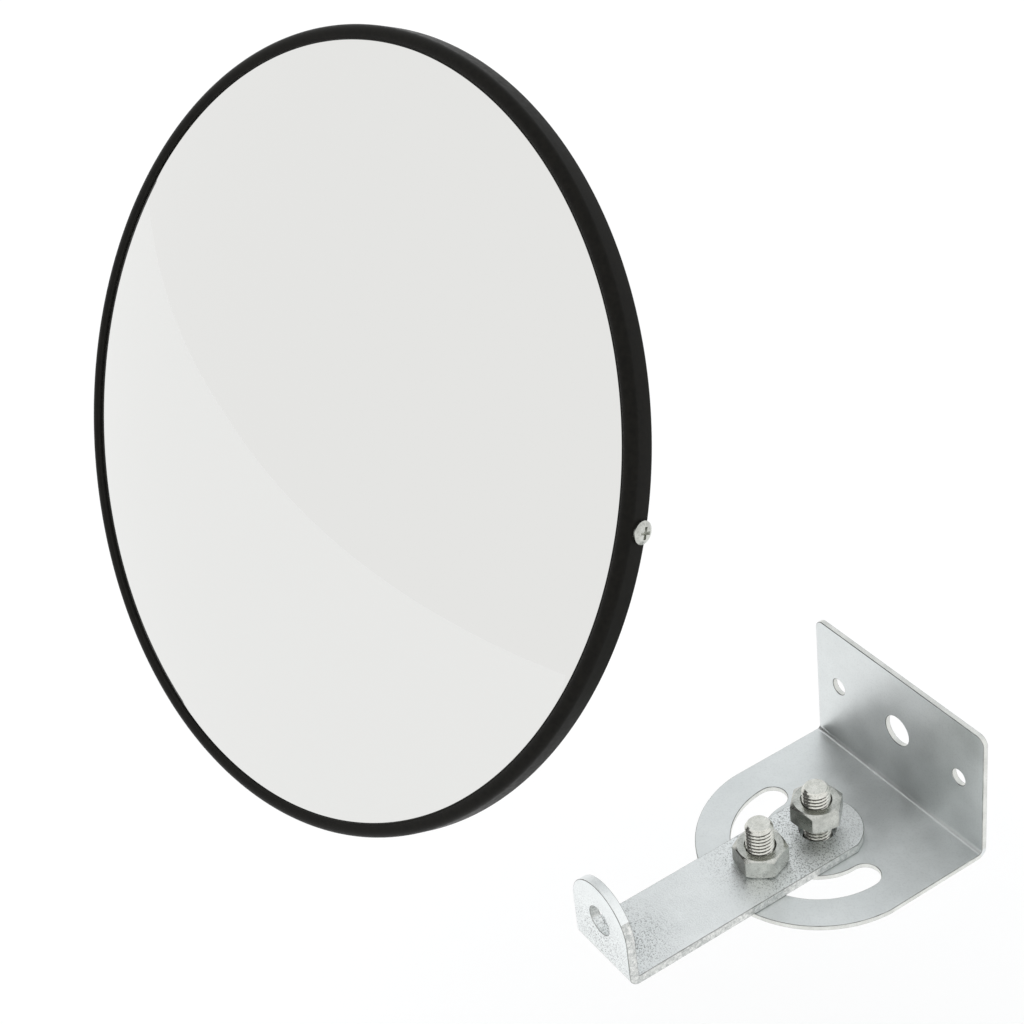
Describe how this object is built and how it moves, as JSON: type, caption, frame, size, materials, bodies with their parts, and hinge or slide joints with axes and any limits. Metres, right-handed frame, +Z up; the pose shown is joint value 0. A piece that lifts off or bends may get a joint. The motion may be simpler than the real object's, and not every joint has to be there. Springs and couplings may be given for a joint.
{
  "type": "convex security mirror",
  "caption": "Round convex mirror in a black edge trim, with a ball stud on its back, and the zinc wall bracket with a swinging arm that it hangs from.",
  "frame": {"origin": "centre of the large hole in the wall flange, on the flange's wall side", "axes": "+Y into the wall, +Z up, +X to the right of a person who faces the wall; the bracket's shelf and arm reach out along -Y"},
  "size_m": [0.3548, 0.1887, 0.2625],
  "materials": {
    "zinc_plate": "satin zinc plating",
    "zinc_fastener": "bright zinc plating",
    "socket_steel": "satin black",
    "backing_board": "hardboard, dark painted",
    "sealing_foam": "matt foam",
    "mirror_face": "polished acrylic, silvered behind",
    "black_trim": "satin PVC"
  },
  "bodies": {
    "wall_bracket": {"wall_plate": "zinc_plate"},
    "swing_arm": {"swing_arm": "zinc_plate"},
    "pivot_bolt": {"pivot_bolt": "zinc_fastener"},
    "pivot_nut": {"pivot_nut": "zinc_fastener"},
    "clamp_bolt": {"clamp_bolt": "zinc_fastener"},
    "clamp_nut": {"clamp_nut": "zinc_fastener"},
    "ball_stud": {"ball_stud": "zinc_fastener", "stud_front_nut": "zinc_fastener", "stud_front_washer": "zinc_fastener", "stud_rear_washer": "zinc_fastener", "stud_rear_nut": "zinc_fastener"},
    "mirror": {"ball_socket": "socket_steel", "socket_cap": "socket_steel", "cap_screw_1": "zinc_fastener", "cap_screw_2": "zinc_fastener", "cap_screw_3": "zinc_fastener", "socket_screw_1": "zinc_fastener", "socket_screw_2": "zinc_fastener", "socket_screw_3": "zinc_fastener", "socket_screw_4": "zinc_fastener", "tee_nut_1": "zinc_fastener", "tee_nut_2": "zinc_fastener", "tee_nut_3": "zinc_fastener", "tee_nut_4": "zinc_fastener", "backing_board": "backing_board", "foam_ring": "sealing_foam", "convex_mirror": "mirror_face", "edge_trim": "black_trim", "trim_screw": "zinc_fastener"}
  },
  "joints": [
    {"name": "arm_swing", "type": "hinge", "parent": "wall_bracket", "child": "swing_arm", "pos_m": [0, -0.0392, -0.0274], "axis": [0, 0, 1], "range_deg": [-88, 88]},
    {"name": "pivot_bolt_turn", "type": "hinge", "parent": "wall_bracket", "child": "pivot_bolt", "pos_m": [0, -0.0392, -0.0274], "axis": [0, 0, 1], "range_deg": [-723, 1420]},
    {"name": "pivot_nut_travel", "type": "slide", "parent": "wall_bracket", "child": "pivot_nut", "axis": [0, 0, 1], "range_m": [-0.0059, 0.003]},
    {"name": "clamp_bolt_turn", "type": "hinge", "parent": "swing_arm", "child": "clamp_bolt", "pos_m": [0, -0.0644, -0.0274], "axis": [0, 0, 1], "range_deg": [-1444, 0]},
    {"name": "clamp_nut_travel", "type": "slide", "parent": "swing_arm", "child": "clamp_nut", "axis": [0, 0, 1], "range_m": [0, 0.006]},
    {"name": "mirror_offer", "type": "slide", "parent": "swing_arm", "child": "ball_stud", "axis": [0.8329, -0.3221, -0.45], "range_m": [0, 0.20602]},
    {"name": "mirror_lean", "type": "hinge", "parent": "ball_stud", "child": "mirror", "pos_m": [-0.1716, -0.0954, 0.0849], "axis": [0.9471, 0, -0.321], "range_deg": [0, 56]}
  ],
  "couplings": [
    {"joint": "pivot_bolt_turn", "follows": "pivot_nut_travel", "rad_per_m": -4188.8},
    {"joint": "clamp_bolt_turn", "follows": "clamp_nut_travel", "rad_per_m": -4188.8}
  ]
}
